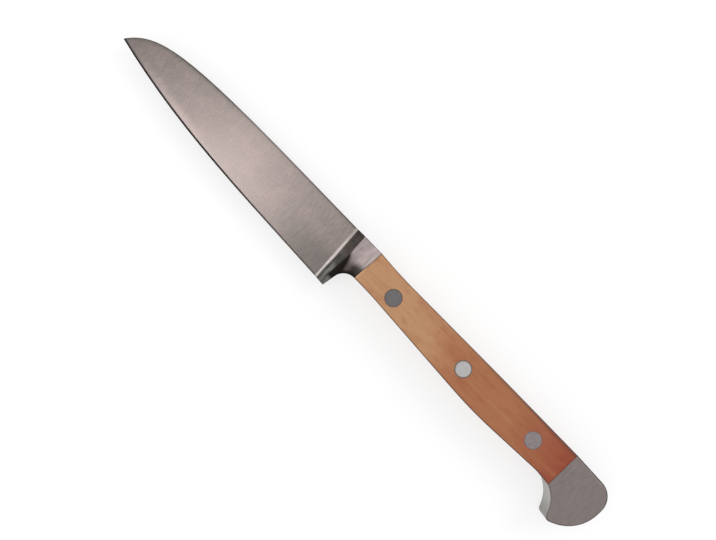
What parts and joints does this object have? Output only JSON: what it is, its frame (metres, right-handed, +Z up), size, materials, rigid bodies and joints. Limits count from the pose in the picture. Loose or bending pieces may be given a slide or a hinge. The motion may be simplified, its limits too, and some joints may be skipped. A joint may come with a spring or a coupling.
{
  "type": "paring knife",
  "caption": "Forged paring knife with a curved spine, a sloping front bolster, riveted wooden scales and a hooked steel pommel.",
  "frame": {"origin": "on the surface that the knife lies on, under the middle of its overall length and width", "axes": "+X from the tip to the pommel, +Y from the cutting edge to the spine, +Z up through the thickness of the handle"},
  "size_m": [0.1988, 0.0197, 0.012],
  "materials": {
    "forged_steel": "satin",
    "wood": "oiled",
    "rivet_steel": "polished flush"
  },
  "bodies": {
    "root": {"forging": "forged_steel", "left_scale": "wood", "right_scale": "wood", "front_rivet_stud": "rivet_steel", "front_rivet_sleeve": "rivet_steel", "middle_rivet_stud": "rivet_steel", "middle_rivet_sleeve": "rivet_steel", "rear_rivet_stud": "rivet_steel", "rear_rivet_sleeve": "rivet_steel"}
  },
  "joints": []
}
